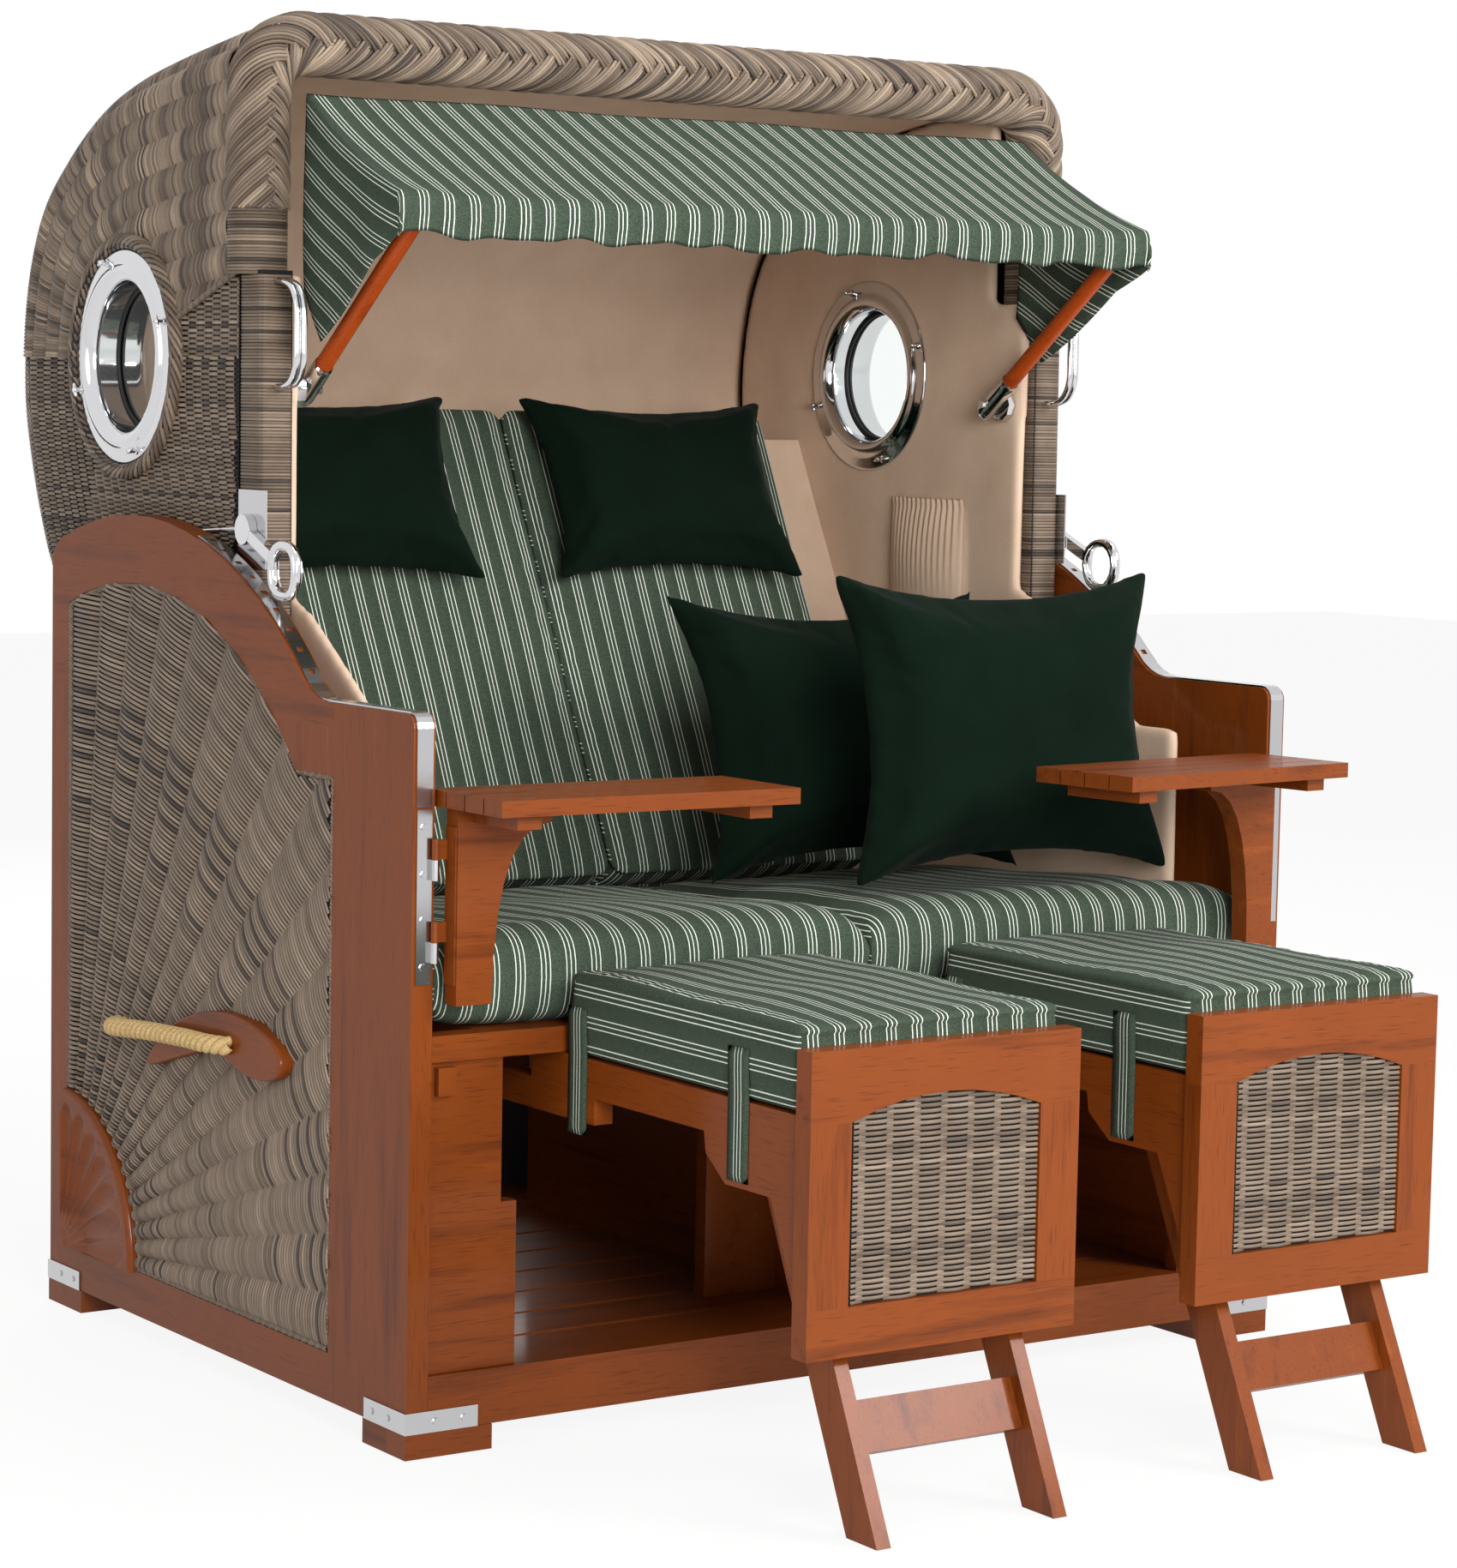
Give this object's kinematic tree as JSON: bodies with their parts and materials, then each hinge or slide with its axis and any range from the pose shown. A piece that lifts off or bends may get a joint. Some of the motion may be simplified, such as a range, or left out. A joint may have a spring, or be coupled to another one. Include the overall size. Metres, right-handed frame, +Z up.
{
  "type": "hooded beach chair",
  "caption": "Hooded beach chair with woven hood, striped cushions, awning, pull-out footrests, swing-out tables and rope handles.",
  "frame": {"origin": "centre of the whole chair's bounding box on the ground, footrests pulled out", "axes": "+X to the right as seen from the front, +Y to the back, +Z up"},
  "size_m": [1.3296, 1.642, 1.5969],
  "materials": {
    "varnished_wood": "red-brown mahogany under gloss varnish",
    "woven_polyrattan": "woven strands in brown, grey, beige and black",
    "braided_polyrattan": "braided strands in brown, grey and beige",
    "polished_steel": "polished stainless",
    "striped_cloth": "grey-green cloth with white lines in threes",
    "green_cloth": "very dark green cloth",
    "lining_cloth": "beige lining cloth",
    "clear_glass": "clear"
  },
  "bodies": {
    "base": {"base_frame": "varnished_wood", "carry_handle_left": "varnished_wood", "carry_handle_right": "varnished_wood", "corner_bracket_front_left": "polished_steel", "corner_bracket_front_right": "polished_steel", "corner_bracket_rear_left": "polished_steel", "corner_bracket_rear_right": "polished_steel", "floor_deck": "varnished_wood", "hinge_post_leaf_left": "polished_steel", "hinge_post_leaf_right": "polished_steel", "locking_rail_left": "polished_steel", "locking_rail_right": "polished_steel", "pivot_bolt_left": "polished_steel", "pivot_bolt_right": "polished_steel", "rear_wicker": "woven_polyrattan", "scatter_cushion_front": "green_cloth", "scatter_cushion_rear": "green_cloth", "seat_cushion": "striped_cloth", "seat_deck": "varnished_wood", "seat_frame": "varnished_wood", "side_frame_left": "varnished_wood", "side_frame_right": "varnished_wood", "side_wicker_left": "woven_polyrattan", "side_wicker_right": "woven_polyrattan"},
    "hood": {"awning_pivot_left": "polished_steel", "awning_pivot_right": "polished_steel", "back_cushion_left": "striped_cloth", "back_cushion_right": "striped_cloth", "backrest_board": "varnished_wood", "grab_bow_left": "polished_steel", "grab_bow_right": "polished_steel", "head_pillow_left": "green_cloth", "head_pillow_right": "green_cloth", "hood_bow": "braided_polyrattan", "hood_wicker": "woven_polyrattan", "latch_plate_left": "polished_steel", "latch_plate_right": "polished_steel", "liner_back": "lining_cloth", "liner_left": "lining_cloth", "liner_right": "lining_cloth", "porthole_glass_left": "clear_glass", "porthole_glass_right": "clear_glass", "porthole_inner_left": "polished_steel", "porthole_inner_right": "polished_steel", "porthole_outer_left": "polished_steel", "porthole_outer_right": "polished_steel"},
    "awning": {"awning_frame": "varnished_wood", "awning_cloth": "striped_cloth"},
    "latch_left": {"latch_lever_left": "polished_steel"},
    "footrest_left": {"footrest_frame_left": "varnished_wood", "footrest_wicker_left": "woven_polyrattan", "footrest_cushion_left": "striped_cloth"},
    "legs_left": {"footrest_legs_left": "varnished_wood"},
    "table_left": {"table_left": "varnished_wood"},
    "latch_right": {"latch_lever_right": "polished_steel"},
    "footrest_right": {"footrest_frame_right": "varnished_wood", "footrest_wicker_right": "woven_polyrattan", "footrest_cushion_right": "striped_cloth"},
    "legs_right": {"footrest_legs_right": "varnished_wood"},
    "table_right": {"table_right": "varnished_wood"}
  },
  "joints": [
    {"name": "hood_recline", "type": "hinge", "parent": "base", "child": "hood", "pos_m": [0, 0.4, 0.382], "axis": [-1, 0, 0], "range_deg": [0, 45]},
    {"name": "awning_fold", "type": "hinge", "parent": "hood", "child": "awning", "pos_m": [0, 0.18, 1.163], "axis": [-1, 0, 0], "range_deg": [0, 45], "deforming": ["awning_cloth"]},
    {"name": "latch_lift_left", "type": "hinge", "parent": "hood", "child": "latch_left", "pos_m": [-0.6, 0.16, 1], "axis": [-1, 0, 0], "range_deg": [0, 30]},
    {"name": "footrest_slide_left", "type": "slide", "parent": "base", "child": "footrest_left", "axis": [0, 1, 0], "range_m": [0, 0.44], "deforming": ["footrest_cushion_left"]},
    {"name": "leg_fold_left", "type": "hinge", "parent": "footrest_left", "child": "legs_left", "pos_m": [-0.26, -0.62, 0.372], "axis": [1, 0, 0], "range_deg": [0, 115]},
    {"name": "latch_lift_right", "type": "hinge", "parent": "hood", "child": "latch_right", "pos_m": [0.6, 0.16, 1], "axis": [-1, 0, 0], "range_deg": [0, 30]},
    {"name": "footrest_slide_right", "type": "slide", "parent": "base", "child": "footrest_right", "axis": [0, 1, 0], "range_m": [0, 0.44], "deforming": ["footrest_cushion_right"]},
    {"name": "leg_fold_right", "type": "hinge", "parent": "footrest_right", "child": "legs_right", "pos_m": [0.26, -0.62, 0.372], "axis": [1, 0, 0], "range_deg": [0, 115]},
    {"name": "table_swing_left", "type": "hinge", "parent": "base", "child": "table_left", "pos_m": [-0.6005, -0.2875, 0.6], "axis": [0, 0, -1], "range_deg": [0, 90]},
    {"name": "table_swing_right", "type": "hinge", "parent": "base", "child": "table_right", "pos_m": [0.6005, -0.2875, 0.6], "axis": [0, 0, 1], "range_deg": [-7, 83]}
  ]
}
